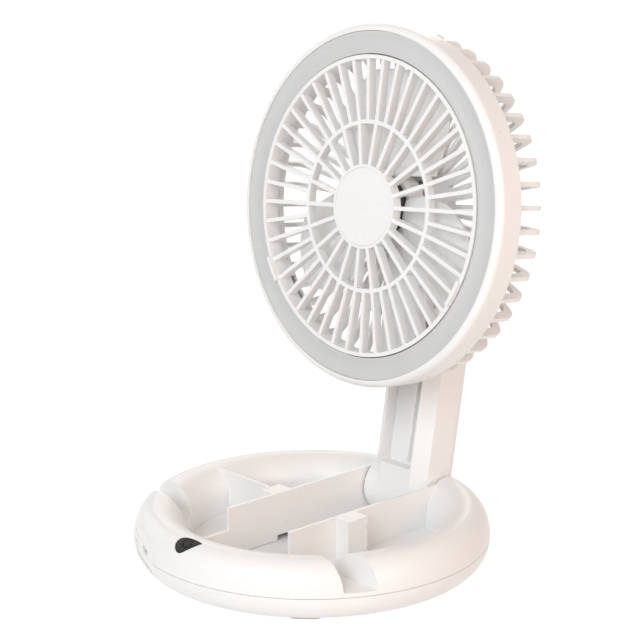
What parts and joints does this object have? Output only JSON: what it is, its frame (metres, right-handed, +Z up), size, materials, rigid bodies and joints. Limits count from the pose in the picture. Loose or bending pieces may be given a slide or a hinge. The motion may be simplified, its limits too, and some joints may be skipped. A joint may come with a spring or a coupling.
{
  "type": "folding desk fan",
  "caption": "Folding desk fan with a round guarded head and light ring on a tilting arm, standing on a ring-shaped base with a tray and a slot the arm folds into.",
  "frame": {"origin": "middle of the base on the table plane, under the ring's centre", "axes": "+Z up, the fan blows towards -Y, X=0 is the plane of symmetry of the arm and head"},
  "size_m": [0.18, 0.1934, 0.2647],
  "materials": {
    "shell_white": "white gloss ABS moulding",
    "grille_white": "white gloss ABS guard",
    "lens_grey": "frosted grey lens",
    "key_grey": "satin dark grey key",
    "foot_rubber": "pale grey pad",
    "steel": "plain steel",
    "board_green": "solder mask",
    "switch_black": "moulded switch",
    "cell_wrap": "shrink sleeve",
    "lamp": "lamp chips",
    "washer": "friction washer",
    "motor_black": "black motor cup",
    "core": "wound core",
    "blade_white": "milky blade"
  },
  "bodies": {
    "base": {"base_top_shell": "shell_white", "base_bottom_cover": "shell_white", "rubber_foot_1": "foot_rubber", "rubber_foot_2": "foot_rubber", "rubber_foot_3": "foot_rubber", "rubber_foot_4": "foot_rubber", "base_screws": "steel", "port_panel": "shell_white", "usb_socket": "steel", "charge_board": "board_green", "switch_board": "board_green", "tact_switch": "switch_black", "battery_cell_left": "cell_wrap", "battery_cell_right": "cell_wrap", "base_hinge_pin": "steel", "hinge_washer_left": "washer", "hinge_washer_right": "washer"},
    "arm": {"arm_left_shell": "shell_white", "arm_right_shell": "shell_white", "arm_screws": "steel", "tilt_cap_left": "shell_white", "tilt_cap_right": "shell_white", "tilt_pin": "steel", "tilt_washer_left": "washer", "tilt_washer_right": "washer"},
    "head": {"head_shell": "shell_white", "light_ring": "lens_grey", "led_board": "board_green", "led_chips": "lamp", "rear_grille": "grille_white", "rear_grille_screws": "steel", "head_bracket": "grille_white", "bracket_screws": "steel", "motor_mount": "grille_white", "motor_stator": "core", "motor_screws": "steel"},
    "grille": {"front_grille": "grille_white", "hub_cap": "grille_white"},
    "rotor": {"rotor_can": "motor_black", "motor_shaft": "steel", "fan_blade": "blade_white"},
    "button": {"power_button": "key_grey"}
  },
  "joints": [
    {"name": "arm_fold", "type": "hinge", "parent": "base", "child": "arm", "pos_m": [0, 0.071, 0.018], "axis": [1, 0, 0], "range_deg": [0, 99.6]},
    {"name": "head_tilt", "type": "hinge", "parent": "arm", "child": "head", "pos_m": [0, 0.08511, 0.12839], "axis": [-1, 0, 0], "range_deg": [0, 183.05]},
    {"name": "rotor_spin", "type": "hinge", "parent": "head", "child": "rotor", "pos_m": [0, 0.03625, 0.17537], "axis": [0, -0.9935, 0.1141], "continuous": true},
    {"name": "grille_twist", "type": "hinge", "parent": "head", "child": "grille", "pos_m": [0, 0.03625, 0.17537], "axis": [0, -0.9935, 0.1141], "range_deg": [0, 13]},
    {"name": "button_press", "type": "slide", "parent": "base", "child": "button", "axis": [-0.022, 0.5258, -0.8503], "range_m": [0, 0.0007], "stiffness_N_per_m": 900, "springref_m": -0.0006}
  ],
  "couplings": [
    {"joint": "head_tilt", "follows": "arm_fold", "ratio": 1.8379}
  ]
}
